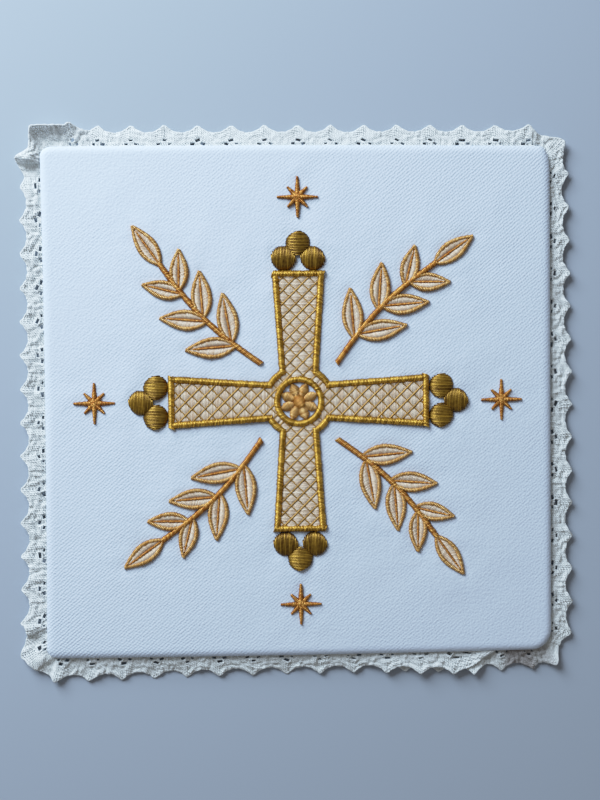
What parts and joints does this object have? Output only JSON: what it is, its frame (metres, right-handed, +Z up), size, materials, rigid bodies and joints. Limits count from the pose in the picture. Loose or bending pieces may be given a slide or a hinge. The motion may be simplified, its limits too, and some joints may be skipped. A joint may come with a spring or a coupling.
{
  "type": "chalice pall",
  "caption": "Stiff square cloth cover for a chalice with a scalloped lace edging and raised gold embroidery of a budded cross, leafy sprays and stars.",
  "frame": {"origin": "middle of the whole footprint, on the surface that the pall lies on", "axes": "+Z up, away from the surface, out of the embroidered face; +Y towards the top of the embroidery; +X to the right of it"},
  "size_m": [0.176, 0.1754, 0.0058],
  "materials": {
    "cover_cloth": "white cotton twill with fine slanting lines, lightly puckered round the stitching",
    "lace_cotton": "matt white cotton bobbin lace",
    "old_gold_thread": "glossy old gold rayon thread in satin stitch",
    "bronze_thread": "glossy dark bronze gold rayon thread in padded satin stitch",
    "pale_gold_thread": "glossy pale gold rayon thread in split and satin stitch",
    "amber_thread": "glossy amber rayon thread in satin stitch"
  },
  "bodies": {
    "root": {"pall_panel": "cover_cloth", "lace_edging": "lace_cotton", "cross": "old_gold_thread", "rosette": "pale_gold_thread", "buds_right": "bronze_thread", "buds_top": "bronze_thread", "buds_left": "bronze_thread", "buds_bottom": "bronze_thread", "spray_top_right": "pale_gold_thread", "spray_top_left": "pale_gold_thread", "spray_bottom_left": "pale_gold_thread", "spray_bottom_right": "pale_gold_thread", "star_right": "amber_thread", "star_top": "amber_thread", "star_left": "amber_thread", "star_bottom": "amber_thread"}
  },
  "joints": []
}
